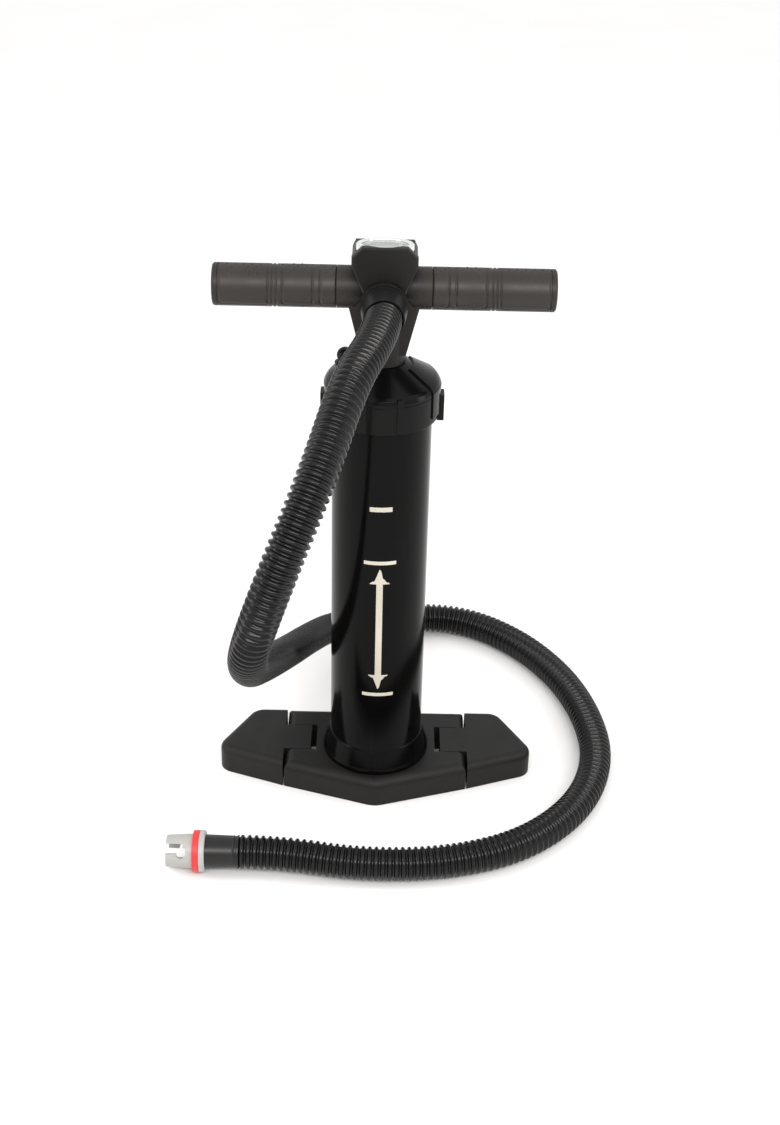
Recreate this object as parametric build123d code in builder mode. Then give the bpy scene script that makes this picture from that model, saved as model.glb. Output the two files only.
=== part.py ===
from build123d import *
import os
from math import cos, pi, radians, sin, tan

os.makedirs("parts", exist_ok=True)

# ---------------------------------------------------------------- driving dimensions (mm)
# Frame: origin on the floor at the axis of the tube, +Z up, -Y towards the hose port, +X along the bar.

# base and its folding feet
base_height = 30.0
base_wall = 4.0
base_half = 96.5            # half width of the fixed middle of the base
base_nose = 70.0            # how far the rounded front corner reaches
base_back = 62.0
base_shoulder_y = -38.5     # where the front edge meets the foot
foot_gap = 1.5              # slot between the base and a foot
foot_reach = 173.0
hinge_x = 86.5
hinge_z = 20.0
hinge_pin_radius = 3.0
tongue_front = -12.0
tongue_back = 30.0
tongue_inner = 69.5
pocket_inner = 63.5
edge_round = 9.5
fit = 0.05                  # radial clearance of a running fit

# pump tube
tube_radius = 48.0
tube_bore = 45.4
tube_top = 452.0
spigot_radius = 47.0
flare_radius = 55.8
flare_top = 54.5
floor_bottom = 8.5
floor_top = 24.0

# screw cap
cap_radius = 54.3
cap_bore = 49.3
cap_bottom = 424.5
cap_shoulder = 455.5
cap_ring_radius = 50.5
cap_ring_z = 461.5
cap_neck_radius = 22.5
cap_top = 478.2
cap_ceiling = 453.5

# rod and piston
rod_radius = 17.0
rod_wall = 2.0
rod_flat = 15.6             # half distance across the two flats that keep the rod from turning
rod_bottom = 50.0
rod_top = 528.0
inner_rod_radius = 9.0
inner_rod_wall = 1.5
inner_rod_bottom = 36.5
inner_rod_top = 532.0
piston_radius = 44.8
seal_radius = 45.33

# handle
handle_z = 550.0
handle_half = 157.0
grip_radius = 19.6
grip_inner_end = 44.0
bar_radius = 16.0
bar_bore = 12.5
end_cap_thickness = 5.0
ring_groove_x = 101.0
neck_radius = 21.0
neck_bottom = 478.5
hub_depth = 28.0
hub_top = 597.0

# pressure gauge, seated in the top of the hub and tilted a little to the back
# its heights are measured from the top of its bezel
gauge_tilt = 8.5
gauge_center = (0, 1, 592)
bezel_radius = 26.4
seat_upper = -9.5
seat_lower = -18.5
cup_floor = -15.5
dial_height = -8.5
needle_height = -6.0
lens_height = -3.5
deck_z = 586.0              # top of the hub behind its front plate
front_plate = 7.0           # thickness of the front plate, which stands up to the top of the hub

# hose port on the front of the hub
port_z = 545.0
port_bore = 10.5
port_spigot_radius = 14.0
port_flange_radius = 21.5
port_tip = 60.0             # how far the spigot and the nut reach forward of the tube's axis
nut_front = 66.0

# hose
hose_radius = 17.0
hose_bore = 13.4
floor_line = 17.2           # height of the hose's centre line where it lies on the floor

# cuff and valve adapter on the free end of the hose, lying along -X
end_x = -133.0
end_y = -170.0
end_z = 21.0
cuff_length = 33.0
flange_radius = 20.8
slot_tilt = 30.0            # how far the slots are turned up from the front

# mode plug on the cap
plug_x = -36.0
plug_y = 16.0
plug_seat_z = 468.3

# intake on the back of the cap
intake_y = 36.0
intake_seat_z = 468.0


# the two sides of everything that is made in pairs
sides = ((-1, "left"), (1, "right"))

# ---------------------------------------------------------------- base
with BuildPart() as base_body:
    with BuildSketch() as base_plan:
        with BuildLine():
            Polyline(
                (0, -base_nose),
                (base_half, base_shoulder_y),
                (base_half, base_back),
                (-base_half, base_back),
                (-base_half, base_shoulder_y),
                close=True,
            )
        make_face()
        fillet(base_plan.vertices().sort_by(Axis.Y)[0], radius=26)
    extrude(amount=base_height)
    fillet(base_body.faces().sort_by(Axis.Z)[-1].edges(), radius=edge_round)
    # hollow underside of the middle
    with BuildSketch():
        with BuildLine():
            Polyline((0, -60), (57, -42), (57, 56), (-57, 56), (-57, -42), close=True)
        make_face()
    extrude(amount=base_height - base_wall, mode=Mode.SUBTRACT)
    # socket for the tube, with a floor, and ribs that carry it
    with BuildSketch(Plane.XY.offset(3.2)):
        Circle(52)
        with PolarLocations(50, 4, start_angle=45):
            Rectangle(24, 3)
        with Locations((47, -36), (-47, -36), (47, 48), (-47, 48)):
            Circle(5)
    extrude(amount=base_height - base_wall - 3.2 + 0.5)
    with BuildSketch(Plane.XY.offset(8)):
        Circle(spigot_radius + 0.3)
    extrude(amount=base_height, mode=Mode.SUBTRACT)
    with BuildSketch():
        Circle(12)
        with Locations((47, -36), (-47, -36), (47, 48), (-47, 48)):
            Circle(1.7)
    extrude(amount=16, mode=Mode.SUBTRACT)
    # air slot under the back edge
    with BuildSketch(Plane.XZ.offset(-base_back)):
        with Locations((-12, 11), (0, 11), (12, 11)):
            SlotOverall(9, 4)
    extrude(amount=8, mode=Mode.SUBTRACT)
    # pockets for the hinge tongues
    with BuildSketch(Plane.XY.offset(-1)):
        with Locations(
            ((pocket_inner + base_half + 4) / 2, (tongue_front + tongue_back) / 2),
            (-(pocket_inner + base_half + 4) / 2, (tongue_front + tongue_back) / 2),
        ):
            Rectangle(base_half + 4 - pocket_inner, tongue_back - tongue_front + 1.6)
    extrude(amount=base_height + 2, mode=Mode.SUBTRACT)
    # holes for the hinge pins, open at the back
    with BuildSketch(Plane.XZ.offset(-base_back - 1)):
        with Locations((hinge_x, hinge_z), (-hinge_x, hinge_z)):
            Circle(hinge_pin_radius + fit)
    extrude(amount=base_back + 1 + 26.5, mode=Mode.SUBTRACT)
base_body.part.label = "base_body"
export_step(base_body.part, "parts/base_body.step")

with BuildPart() as base_plate:
    with BuildSketch():
        with BuildLine():
            Polyline((0, -59.5), (56.6, -41.7), (56.6, 55.6), (-56.6, 55.6), (-56.6, -41.7), close=True)
        make_face()
        with GridLocations(12, 12, 2, 2):
            Circle(3.5, mode=Mode.SUBTRACT)
    extrude(amount=3)
    with Locations((47, -36, 0), (-47, -36, 0), (47, 48, 0), (-47, 48, 0)):
        Cylinder(3.5, 2.2, align=(Align.CENTER, Align.CENTER, Align.MIN), mode=Mode.SUBTRACT)
        Cylinder(1.8, 3, align=(Align.CENTER, Align.CENTER, Align.MIN), mode=Mode.SUBTRACT)
base_plate.part.label = "base_plate"
export_step(base_plate.part, "parts/base_plate.step")

with BuildPart() as base_screws:
    with Locations((47, -36, 0.2), (-47, -36, 0.2), (47, 48, 0.2), (-47, 48, 0.2)):
        Cylinder(3.3, 2, align=(Align.CENTER, Align.CENTER, Align.MIN))
        Cylinder(1.6, 14, align=(Align.CENTER, Align.CENTER, Align.MIN))
base_screws.part.label = "base_screws"
export_step(base_screws.part, "parts/base_screws.step")

# folding feet: hollow wings, each with a tongue that reaches into the base
foot_inner = base_half + foot_gap
tongue_width = tongue_back - tongue_front
tongue_middle = (tongue_back + tongue_front) / 2
for side, side_name in sides:
    with BuildPart() as foot:
        with BuildSketch() as foot_plan:
            with BuildLine():
                Polyline(
                    (side * foot_inner, base_shoulder_y + 0.5),
                    (side * foot_reach, -9.5),
                    (side * 134, base_back + 1),
                    (side * foot_inner, base_back + 1),
                    close=True,
                )
            make_face()
            fillet(foot_plan.vertices().filter_by(lambda v: abs(v.X) > 150), radius=16)
            fillet(foot_plan.vertices().filter_by(lambda v: 130 < abs(v.X) < 150), radius=18)
        extrude(amount=base_height)
        top_edges = foot.faces().sort_by(Axis.Z)[-1].edges()
        fillet(top_edges.filter_by(lambda e: abs(e.center().X) > foot_inner + 1), radius=edge_round - 1)
        # hollow underside with two cross ribs
        with BuildSketch():
            with BuildLine():
                Polyline((side * 105, -27), (side * 156, -8), (side * 129, 55), (side * 105, 55), close=True)
            make_face()
            with Locations((side * 128, 8), (side * 128, 32)):
                Rectangle(80, 3, mode=Mode.SUBTRACT)
        extrude(amount=base_height - base_wall, mode=Mode.SUBTRACT)
        # tongue and knuckle
        with Locations((side * (tongue_inner + foot_inner + 1) / 2, tongue_middle, base_height - 8)):
            Box(foot_inner + 1 - tongue_inner, tongue_width, 16)
        with BuildSketch(Plane.XZ.offset(-tongue_back)):
            with Locations((side * hinge_x, hinge_z)):
                Circle(9)
        extrude(amount=tongue_width)
        with BuildSketch(Plane.XZ.offset(-tongue_back - 1)):
            with Locations((side * hinge_x, hinge_z)):
                Circle(hinge_pin_radius + fit)
        extrude(amount=tongue_width + 2, mode=Mode.SUBTRACT)
    foot.part.label = f"{side_name}_foot"
    export_step(foot.part, f"parts/{side_name}_foot.step")

# steel pins that the feet fold on
for side, side_name in sides:
    with BuildPart() as hinge_pin:
        with BuildSketch(Plane.XZ.offset(-58)):
            with Locations((side * hinge_x, hinge_z)):
                Circle(hinge_pin_radius)
        extrude(amount=84)
        chamfer(hinge_pin.edges().filter_by(GeomType.CIRCLE), length=0.6)
    hinge_pin.part.label = f"hinge_pin_{side_name}"
    export_step(hinge_pin.part, f"parts/hinge_pin_{side_name}.step")

# ---------------------------------------------------------------- tube
with BuildPart() as pump_tube:
    with BuildSketch(Plane.XZ):
        with BuildLine():
            Polyline(
                (tube_bore, 10),
                (spigot_radius, 10),
                (spigot_radius, base_height + 0.1),
                (flare_radius, base_height + 0.1),
                (flare_radius, 34.5),
                (flare_radius - 0.8, 36.5),
                (tube_radius + 1.0, flare_top),
                (tube_radius, flare_top + 0.8),
                (tube_radius, tube_top),
                (tube_bore, tube_top),
                close=True,
            )
        make_face()
        # thread turns under the cap
        for turn in range(3):
            with Locations((tube_radius + 0.4, 434 + 5 * turn)):
                Rectangle(1.0, 1.6)
    revolve(axis=Axis.Z)
pump_tube.part.label = "pump_tube"
export_step(pump_tube.part, "parts/pump_tube.step")

with BuildPart() as cylinder_floor:
    with BuildSketch(Plane.XZ):
        with BuildLine():
            Polyline(
                (0, floor_bottom + 6),
                (36, floor_bottom + 6),
                (36, floor_bottom + 1.5),
                (45.2, floor_bottom + 1.5),
                (45.2, 14.8),
                (42.1, 14.8),
                (42.1, 18.6),
                (45.2, 18.6),
                (45.2, floor_top),
                (0, floor_top),
                close=True,
            )
        make_face()
    revolve(axis=Axis.Z)
    with Locations((0, 0, floor_top)):
        Hole(2.15)
        with PolarLocations(8.5, 6):
            Hole(2.6)
cylinder_floor.part.label = "cylinder_floor"
export_step(cylinder_floor.part, "parts/cylinder_floor.step")

with BuildPart() as floor_oring:
    with Locations((0, 0, 16.7)):
        Torus(43.7, 1.55)
floor_oring.part.label = "floor_oring"
export_step(floor_oring.part, "parts/floor_oring.step")

with BuildPart() as bottom_inlet_flap:
    with BuildSketch(Plane.XZ):
        with BuildLine():
            Polyline(
                (0, 11.5), (3.2, 11.5), (2.0, 14.2), (2.0, floor_top), (14, floor_top),
                (14.4, floor_top + 0.6), (3.5, floor_top + 2.2), (0, floor_top + 2.4), close=True,
            )
        make_face()
    revolve(axis=Axis.Z)
bottom_inlet_flap.part.label = "bottom_inlet_flap"
export_step(bottom_inlet_flap.part, "parts/bottom_inlet_flap.step")

# ---------------------------------------------------------------- cap
panel_half = 31.0           # half angle of each raised side panel of the cap, degrees
rib_angle = 18.0            # ribs stand this far each side of front and back, degrees

with BuildPart() as cap:
    with BuildSketch(Plane.XZ):
        with BuildLine():
            Polyline(
                (cap_bore, cap_bottom + 1),
                (cap_bore + 0.8, cap_bottom),
                (cap_radius - 0.8, cap_bottom),
                (cap_radius, cap_bottom + 0.8),
                (cap_radius, 452.2),
                (cap_radius - 0.5, 452.5),
                (cap_radius - 0.5, 453.0),
                (cap_radius, 453.3),
                (cap_radius, cap_shoulder),
                (cap_radius - 1.2, cap_shoulder + 3.5),
                (cap_ring_radius, cap_ring_z),
                (cap_neck_radius, cap_top),
                (19.6, cap_top),
                (19.6, 458),
                (23.5, 458),
                (23.5, 471.0),
                (45.5, 458.5),
                (45.5, cap_ceiling),
                (cap_bore, cap_ceiling),
                close=True,
            )
        make_face()
    revolve(axis=Axis.Z)
    # raised side panels, over the skirt and up the cone
    for panel_start in (-panel_half, 180 - panel_half):
        with BuildSketch(Plane.XZ.rotated((0, 0, panel_start))):
            with BuildLine():
                Polyline(
                    (cap_radius - 1, 431),
                    (cap_radius + 1.4, 431),
                    (cap_radius + 1.4, cap_shoulder + 1),
                    (cap_radius - 0.6, cap_shoulder + 5),
                    (cap_ring_radius + 0.8, cap_ring_z + 1.7),
                    (29, cap_top - 1.9),
                    (27, cap_top - 4.2),
                    (cap_ring_radius - 3, cap_ring_z - 0.5),
                    (cap_radius - 1, cap_shoulder - 1),
                    close=True,
                )
            make_face()
        revolve(axis=Axis.Z, revolution_arc=2 * panel_half)
    # square lugs on the sides, for a strap wrench
    with Locations((cap_radius + 1.2, 0, 433), (-cap_radius - 1.2, 0, 433)):
        Box(6.4, 15, 26)
    # upright ribs
    for angle in (-90 - rib_angle, -90 + rib_angle, 90 - rib_angle, 90 + rib_angle):
        with Locations(
            Location(
                (cap_radius * cos(radians(angle)), cap_radius * sin(radians(angle)), 444),
                (0, 0, angle),
            )
        ):
            Box(2.4, 6, 34)
    # boss for the mode plug and boss for the intake flap
    with Locations((plug_x, plug_y, 457)):
        Cylinder(10, plug_seat_z - 457, align=(Align.CENTER, Align.CENTER, Align.MIN))
    with Locations((0, intake_y, 457.5)):
        Cylinder(9, intake_seat_z - 457.5, align=(Align.CENTER, Align.CENTER, Align.MIN))
    with Locations((plug_x, plug_y, plug_seat_z)):
        Cylinder(9.4, 20, align=(Align.CENTER, Align.CENTER, Align.MIN), mode=Mode.SUBTRACT)
        Hole(6.0, depth=20)
    with Locations((0, intake_y, intake_seat_z)):
        Cylinder(7.6, 20, align=(Align.CENTER, Align.CENTER, Align.MIN), mode=Mode.SUBTRACT)
        Hole(1.7, depth=20)
        with PolarLocations(4.6, 4, start_angle=45):
            Hole(1.5, depth=20)
    # keep the bush bore and the top of the tube clear of the bosses
    with BuildSketch(Plane.XY.offset(430)):
        Circle(19.6)
    extrude(amount=60, mode=Mode.SUBTRACT)
cap.part.label = "cap"
export_step(cap.part, "parts/cap.step")

with BuildPart() as cap_gasket:
    with BuildSketch(Plane.XY.offset(tube_top)):
        Circle(tube_radius)
        Circle(tube_bore + 0.4, mode=Mode.SUBTRACT)
    extrude(amount=cap_ceiling - tube_top)
cap_gasket.part.label = "cap_gasket"
export_step(cap_gasket.part, "parts/cap_gasket.step")

with BuildPart() as rod_bush:
    with BuildSketch(Plane.XY.offset(464.2)):
        Circle(19.5)
        with BuildSketch(mode=Mode.SUBTRACT):
            Circle(rod_radius + fit)
            Rectangle(60, 2 * (rod_flat + fit), mode=Mode.INTERSECT)
    extrude(amount=cap_top - 464.2)
rod_bush.part.label = "rod_bush"
export_step(rod_bush.part, "parts/rod_bush.step")

with BuildPart() as rod_seal:
    with BuildSketch(Plane.XY.offset(458.4)):
        Circle(19.5)
        with BuildSketch(mode=Mode.SUBTRACT):
            Circle(rod_radius + fit)
            Rectangle(60, 2 * (rod_flat + fit), mode=Mode.INTERSECT)
    extrude(amount=5.4)
rod_seal.part.label = "rod_seal"
export_step(rod_seal.part, "parts/rod_seal.step")

with BuildPart() as top_inlet_flap:
    with BuildSketch(Plane.XZ.offset(-intake_y)):
        with BuildLine():
            Polyline(
                (0, 455.4), (3, 455.6), (8, 456.9), (8, 457.5), (1.6, 457.5), (1.6, 468.4),
                (2.8, 469.0), (1.2, 472.0), (0, 472.0), close=True,
            )
        make_face()
    revolve(axis=Axis((0, intake_y, 0), (0, 0, 1)))
top_inlet_flap.part.label = "top_inlet_flap"
export_step(top_inlet_flap.part, "parts/top_inlet_flap.step")

with BuildPart() as mode_plug:
    with BuildSketch(Plane(origin=(plug_x, plug_y, 0), x_dir=(1, 0, 0), z_dir=(0, -1, 0))):
        with BuildLine():
            Polyline(
                (0, 458), (5.0, 458), (5.9, 459), (5.9, 462.0), (4.6, 462.0), (4.6, 464.6), (5.9, 464.6),
                (5.9, plug_seat_z + 0.2), (7.2, plug_seat_z + 0.2), (8.0, plug_seat_z + 1.2), (8.0, 480.2),
                (6.8, 482.6), (4.4, 483.4), (0, 483.6), close=True,
            )
        make_face()
    revolve(axis=Axis((plug_x, plug_y, 0), (0, 0, 1)))
mode_plug.part.label = "mode_plug"
export_step(mode_plug.part, "parts/mode_plug.step")

with BuildPart() as plug_oring:
    with Locations((plug_x, plug_y, 463.3)):
        Torus(4.6 + 0.62, 0.6)
plug_oring.part.label = "plug_oring"
export_step(plug_oring.part, "parts/plug_oring.step")

# ---------------------------------------------------------------- rod and piston
with BuildPart() as rod_outer:
    with BuildSketch(Plane.XY.offset(rod_bottom)):
        Circle(rod_radius)
        Rectangle(60, 2 * rod_flat, mode=Mode.INTERSECT)
        Circle(rod_radius - 1.4 - rod_wall, mode=Mode.SUBTRACT)
    extrude(amount=rod_top - rod_bottom)
    # ports from the upper chamber into the rod
    with Locations(Location((0, 0, 70), (90, 0, 0)), Location((0, 0, 70), (0, 90, 0))):
        Cylinder(3.2, 60, mode=Mode.SUBTRACT)
rod_outer.part.label = "rod_outer"
export_step(rod_outer.part, "parts/rod_outer.step")

with BuildPart() as rod_inner:
    with BuildSketch(Plane.XY.offset(inner_rod_bottom)):
        Circle(inner_rod_radius)
        Circle(inner_rod_radius - inner_rod_wall, mode=Mode.SUBTRACT)
    extrude(amount=inner_rod_top - inner_rod_bottom)
rod_inner.part.label = "rod_inner"
export_step(rod_inner.part, "parts/rod_inner.step")

with BuildPart() as piston_body:
    with BuildSketch(Plane.XZ):
        with BuildLine():
            Polyline(
                (inner_rod_radius + 0.1, 46), (40, 46), (40, 52), (piston_radius, 52), (piston_radius, 54.5),
                (24, 54.5), (22, 62), (rod_radius + fit, 62), (rod_radius + fit, rod_bottom),
                (inner_rod_radius + 0.1, rod_bottom), close=True,
            )
        make_face()
    revolve(axis=Axis.Z)
    # stiffening ribs
    with BuildSketch(Plane.XY.offset(54)):
        with PolarLocations(31.5, 8, start_angle=22.5):
            Rectangle(21, 2.4)
    extrude(amount=5)
piston_body.part.label = "piston_body"
export_step(piston_body.part, "parts/piston_body.step")

with BuildPart() as piston_seal:
    with BuildSketch(Plane.XZ):
        with BuildLine():
            Polyline(
                (40.1, 46.2), (44.4, 46.2), (seal_radius, 47.2), (seal_radius, 50.8), (44.4, 51.8),
                (40.1, 51.8), close=True,
            )
        make_face()
    revolve(axis=Axis.Z)
piston_seal.part.label = "piston_seal"
export_step(piston_seal.part, "parts/piston_seal.step")

with BuildPart() as piston_retainer:
    with BuildSketch(Plane.XY.offset(42)):
        Circle(piston_radius)
        Circle(inner_rod_radius + 0.1, mode=Mode.SUBTRACT)
    extrude(amount=4)
    chamfer(piston_retainer.faces().sort_by(Axis.Z)[0].edges().sort_by(SortBy.LENGTH)[-1], length=1)
piston_retainer.part.label = "piston_retainer"
export_step(piston_retainer.part, "parts/piston_retainer.step")

with BuildPart() as piston_nut:
    with BuildSketch(Plane.XY.offset(37)):
        RegularPolygon(15.5, 6)
        Circle(inner_rod_radius + fit, mode=Mode.SUBTRACT)
    extrude(amount=5)
piston_nut.part.label = "piston_nut"
export_step(piston_nut.part, "parts/piston_nut.step")

# ---------------------------------------------------------------- handle shells
tilt = radians(gauge_tilt)
gauge_plane = Plane(origin=gauge_center, x_dir=(1, 0, 0), z_dir=(0, sin(tilt), cos(tilt)))
gauge_section = Plane(origin=gauge_center, x_dir=(1, 0, 0), z_dir=(0, -cos(tilt), sin(tilt)))
gauge_axis = Axis(gauge_center, (0, sin(tilt), cos(tilt)))

with BuildPart() as handle_block:
    # hub: a flat face widest near its top, extruded through the handle
    with BuildSketch(Plane.XZ.offset(-hub_depth)) as face:
        with BuildLine():
            Polyline(
                (-20.5, hub_top), (20.5, hub_top), (30, 588), (30, 579.5), (18.5, 552), (18.5, 530),
                (-18.5, 530), (-18.5, 552), (-30, 579.5), (-30, 588), close=True,
            )
        make_face()
    extrude(amount=2 * hub_depth)
    chamfer(
        handle_block.faces().filter_by(Axis.Y).edges().filter_by(lambda e: e.center().Z > 540),
        length=1.2,
    )
    # webs that spread the neck out to the bar
    with BuildSketch(Plane.XZ.offset(-15)):
        with BuildLine():
            Polyline((-34, 542), (34, 542), (21, 489), (-21, 489), close=True)
        make_face()
    extrude(amount=30)
    with Locations((0, 0, neck_bottom)):
        Cylinder(neck_radius, handle_z - neck_bottom, align=(Align.CENTER, Align.CENTER, Align.MIN))
    # bar, with a thicker collar each side of the hub
    with BuildSketch(Plane.YZ.offset(-handle_half + end_cap_thickness)):
        with Locations((0, handle_z)):
            Circle(bar_radius)
    extrude(amount=2 * (handle_half - end_cap_thickness))
    with BuildSketch(Plane.YZ.offset(-grip_inner_end + 0.5)):
        with Locations((0, handle_z)):
            Circle(grip_radius)
    extrude(amount=2 * (grip_inner_end - 0.5))
    # hollow of the bar, outside the collars
    for start in (-handle_half, grip_inner_end):
        with BuildSketch(Plane.YZ.offset(start)):
            with Locations((0, handle_z)):
                Circle(bar_bore)
        extrude(amount=handle_half - grip_inner_end, mode=Mode.SUBTRACT)
    # behind the front plate the hub is lower, with sloping shoulders beside the gauge
    with BuildSketch(Plane.XZ.offset(hub_depth - front_plate)):
        with BuildLine():
            Polyline(
                (-32, 579.5), (-30, 579.5), (-27, deck_z), (27, deck_z), (30, 579.5), (32, 579.5),
                (32, hub_top + 5), (-32, hub_top + 5), close=True,
            )
        make_face()
    extrude(amount=-2 * hub_depth, mode=Mode.SUBTRACT)
    # cavity for the air block, passage for the rod and stem hole of the gauge
    with Locations((0, 0, 505.5)):
        Cylinder(18.9, 57, align=(Align.CENTER, Align.CENTER, Align.MIN), mode=Mode.SUBTRACT)
    with Locations((0, 0, neck_bottom - 1)):
        Cylinder(rod_radius + 0.4, 40, align=(Align.CENTER, Align.CENTER, Align.MIN), mode=Mode.SUBTRACT)
        Cylinder(4.2, 120, align=(Align.CENTER, Align.CENTER, Align.MIN), mode=Mode.SUBTRACT)
    # stepped seat of the gauge
    with BuildSketch(gauge_plane.offset(seat_lower)):
        Circle(24.8)
    extrude(amount=40, mode=Mode.SUBTRACT)
    with BuildSketch(gauge_plane.offset(seat_upper)):
        Circle(bezel_radius + 0.3)
    extrude(amount=30, mode=Mode.SUBTRACT)
    # hole for the hose port
    with BuildSketch(Plane.XZ):
        with Locations((0, port_z)):
            Circle(port_spigot_radius + 0.4)
    extrude(amount=60, mode=Mode.SUBTRACT)
    # screw holes from the back
    with BuildSketch(Plane.XZ.offset(-40)):
        with Locations((25, 523), (-25, 523), (37, handle_z), (-37, handle_z)):
            Circle(1.8)
    extrude(amount=40 + 10, mode=Mode.SUBTRACT)
    with BuildSketch(Plane.XZ.offset(-40)):
        with Locations((25, 523), (-25, 523), (37, handle_z), (-37, handle_z)):
            Circle(3.6)
    extrude(amount=40 - 9, mode=Mode.SUBTRACT)

with BuildPart() as handle_front:
    add(handle_block.part)
    split(bisect_by=Plane.XZ, keep=Keep.TOP)
handle_front.part.label = "handle_front"
export_step(handle_front.part, "parts/handle_front.step")

with BuildPart() as handle_rear:
    add(handle_block.part)
    split(bisect_by=Plane.XZ, keep=Keep.BOTTOM)
handle_rear.part.label = "handle_rear"
export_step(handle_rear.part, "parts/handle_rear.step")

with BuildPart() as handle_screws:
    for x, z in ((25, 523), (-25, 523), (37, handle_z), (-37, handle_z)):
        with BuildSketch(Plane.XZ.offset(-12.2)):
            with Locations((x, z)):
                Circle(3.3)
        extrude(amount=2.9)
        with BuildSketch(Plane.XZ.offset(-9.5)):
            with Locations((x, z)):
                Circle(1.6)
        extrude(amount=17)
handle_screws.part.label = "handle_screws"
export_step(handle_screws.part, "parts/handle_screws.step")

with BuildPart() as air_block:
    with Locations((0, 0, 506)):
        Cylinder(18.6, 56, align=(Align.CENTER, Align.CENTER, Align.MIN))
    with BuildSketch(Plane.XY.offset(505)):
        Circle(rod_radius + fit)
    extrude(amount=rod_top - 505, mode=Mode.SUBTRACT)
    with Locations((0, 0, 520)):
        Cylinder(12, 36, align=(Align.CENTER, Align.CENTER, Align.MIN), mode=Mode.SUBTRACT)
        Cylinder(4.2, 60, align=(Align.CENTER, Align.CENTER, Align.MIN), mode=Mode.SUBTRACT)
    with BuildSketch(Plane.XZ):
        with Locations((0, port_z)):
            Circle(port_bore)
    extrude(amount=30, mode=Mode.SUBTRACT)
    with BuildSketch(Plane.XZ.offset(15)):
        with Locations((0, port_z)):
            Circle(port_spigot_radius + 0.1)
    extrude(amount=10, mode=Mode.SUBTRACT)
air_block.part.label = "air_block"
export_step(air_block.part, "parts/air_block.step")

with BuildPart() as outlet_flap:
    with BuildSketch(Plane.XY.offset(inner_rod_top)):
        Circle(11)
    extrude(amount=1.2)
outlet_flap.part.label = "outlet_flap"
export_step(outlet_flap.part, "parts/outlet_flap.step")

# ---------------------------------------------------------------- grips
sleeve_length = handle_half - end_cap_thickness - grip_inner_end
for side, side_name in sides:
    with BuildPart() as grip:
        with BuildSketch(Plane.YZ.offset(grip_inner_end if side > 0 else -grip_inner_end - sleeve_length)):
            with Locations((0, handle_z)):
                Circle(grip_radius)
                Circle(bar_radius + fit, mode=Mode.SUBTRACT)
        extrude(amount=sleeve_length)
        # ring groove between the outer and the middle pad
        with BuildSketch(Plane.YZ.offset(side * ring_groove_x - 0.6)):
            with Locations((0, handle_z)):
                Circle(grip_radius + 1)
                Circle(grip_radius - 0.7, mode=Mode.SUBTRACT)
        extrude(amount=1.2, mode=Mode.SUBTRACT)
    grip.part.label = f"grip_{side_name}"
    export_step(grip.part, f"parts/grip_{side_name}.step")

# plugs that close the ends of the bar
for side, side_name in sides:
    with BuildPart() as end_cap:
        with BuildSketch(Plane.YZ.offset(side * handle_half)):
            with Locations((0, handle_z)):
                Circle(grip_radius)
        extrude(amount=-side * (end_cap_thickness - 0.1))
        chamfer(end_cap.faces().sort_by(Axis.X)[-1 if side > 0 else 0].edges(), length=1.4)
        with BuildSketch(Plane.YZ.offset(side * (handle_half - end_cap_thickness + 0.1))):
            with Locations((0, handle_z)):
                Circle(bar_bore - 0.1)
                Circle(bar_bore - 2.2, mode=Mode.SUBTRACT)
        extrude(amount=-side * 12)
    end_cap.part.label = f"end_cap_{side_name}"
    export_step(end_cap.part, f"parts/end_cap_{side_name}.step")

# ---------------------------------------------------------------- gauge
with BuildPart() as gauge_body:
    with BuildSketch(gauge_section):
        with BuildLine():
            Polyline(
                (0, seat_lower + 0.2), (24.5, seat_lower + 0.2), (24.5, dial_height + 0.4),
                (22.6, dial_height + 0.4), (22.6, lens_height - 0.2), (21.9, lens_height - 0.2),
                (21.9, dial_height - 0.1), (20, dial_height - 0.1), (20, cup_floor), (0, cup_floor),
                close=True,
            )
        make_face()
    revolve(axis=gauge_axis)
    # stem into the air block
    with Locations((0, -1.5, 560)):
        Cylinder(2.4, 15.5, align=(Align.CENTER, Align.CENTER, Align.MIN))
gauge_body.part.label = "gauge_body"
export_step(gauge_body.part, "parts/gauge_body.step")

with BuildPart() as gauge_dial:
    with BuildSketch(gauge_plane.offset(dial_height)):
        Circle(21.7)
        Circle(1.4, mode=Mode.SUBTRACT)
    extrude(amount=0.8)
gauge_dial.part.label = "gauge_dial"
export_step(gauge_dial.part, "parts/gauge_dial.step")

spindle_radius = 1.0
with BuildPart() as gauge_spindle:
    with BuildSketch(gauge_section):
        with BuildLine():
            Polyline(
                (0, cup_floor), (4.5, cup_floor), (4.5, cup_floor + 1.5), (spindle_radius, cup_floor + 2.5),
                (spindle_radius, needle_height + 1.3), (0, needle_height + 1.5), close=True,
            )
        make_face()
    revolve(axis=gauge_axis)
gauge_spindle.part.label = "gauge_spindle"
export_step(gauge_spindle.part, "parts/gauge_spindle.step")

# at rest the needle points to the lower left of the dial
needle_plane = Plane(
    origin=gauge_plane.offset(needle_height).origin,
    x_dir=gauge_plane.x_dir * cos(radians(225)) + gauge_plane.y_dir * sin(radians(225)),
    z_dir=gauge_plane.z_dir,
)
with BuildPart() as gauge_needle:
    with BuildSketch(needle_plane):
        Circle(2.2)
        with BuildLine():
            Polyline((17, 0), (0, 1.1), (-6, 1.4), (-6, -1.4), (0, -1.1), close=True)
        make_face()
        Circle(spindle_radius + fit, mode=Mode.SUBTRACT)
    extrude(amount=0.7)
gauge_needle.part.label = "gauge_needle"
export_step(gauge_needle.part, "parts/gauge_needle.step")

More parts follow.
